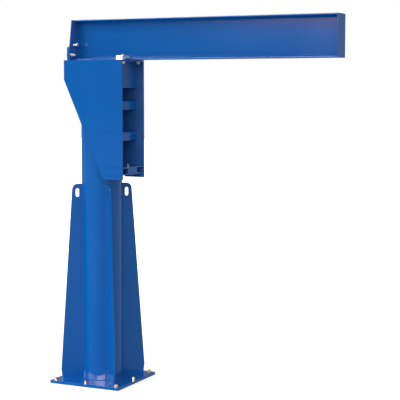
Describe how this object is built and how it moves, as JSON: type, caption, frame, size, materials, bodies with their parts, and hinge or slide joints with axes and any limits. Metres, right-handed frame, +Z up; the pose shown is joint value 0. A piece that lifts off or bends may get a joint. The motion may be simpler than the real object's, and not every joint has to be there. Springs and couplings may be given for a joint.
{
  "type": "jib crane",
  "caption": "Floor-mounted pillar jib crane: round mast with gussets on a square base plate, and a turning two-cheek head that carries an I-beam jib for a hoist trolley.",
  "frame": {"origin": "middle of the base plate's underside, on the mast axis", "axes": "+Z up the mast, +X along the jib at rest, +Y to the left of the jib"},
  "size_m": [2.1855, 0.587, 2.727],
  "materials": {
    "blue_paint": "glossy blue machine paint",
    "zinc_plate": "bright zinc plate",
    "turned_steel": "turned steel",
    "bearing_bronze": "turned bearing bronze"
  },
  "bodies": {
    "mast": {"base_plate": "blue_paint", "mast_tube": "blue_paint", "mast_cap": "blue_paint", "king_pin": "turned_steel", "thrust_ring": "bearing_bronze", "gusset_front_left": "blue_paint", "gusset_rear_left": "blue_paint", "gusset_rear_right": "blue_paint", "gusset_front_right": "blue_paint"},
    "jib": {"cheek_left": "blue_paint", "cheek_right": "blue_paint", "head_top_plate": "blue_paint", "head_front_plate": "blue_paint", "head_rear_plate": "blue_paint", "bearing_hub": "blue_paint", "upper_tie": "blue_paint", "lower_tie": "blue_paint", "roller_box_top": "blue_paint", "roller_box_bottom": "blue_paint", "roller_box_block": "blue_paint", "roller_pin_left": "turned_steel", "roller_pin_right": "turned_steel", "rear_bracket": "blue_paint", "jib_beam": "blue_paint", "jib_rear_plate": "blue_paint", "jib_tip_plate": "blue_paint", "clamp_left": "zinc_plate", "clamp_right": "zinc_plate", "clamp_packing_left": "zinc_plate", "clamp_packing_right": "zinc_plate"},
    "roller_left": {"roller_left": "turned_steel"},
    "roller_right": {"roller_right": "turned_steel"}
  },
  "joints": [
    {"name": "jib_slew", "type": "hinge", "parent": "mast", "child": "jib", "pos_m": [0, 0, 2.382], "axis": [0, 0, 1], "continuous": true},
    {"name": "roller_left_spin", "type": "hinge", "parent": "jib", "child": "roller_left", "pos_m": [0.18404, 0.07249, 1.6075], "axis": [0, 0, 1], "continuous": true},
    {"name": "roller_right_spin", "type": "hinge", "parent": "jib", "child": "roller_right", "pos_m": [0.18404, -0.07249, 1.6075], "axis": [0, 0, 1], "continuous": true}
  ],
  "couplings": [
    {"joint": "roller_left_spin", "follows": "jib_slew", "ratio": 3.3889},
    {"joint": "roller_right_spin", "follows": "jib_slew", "ratio": 3.3889}
  ]
}
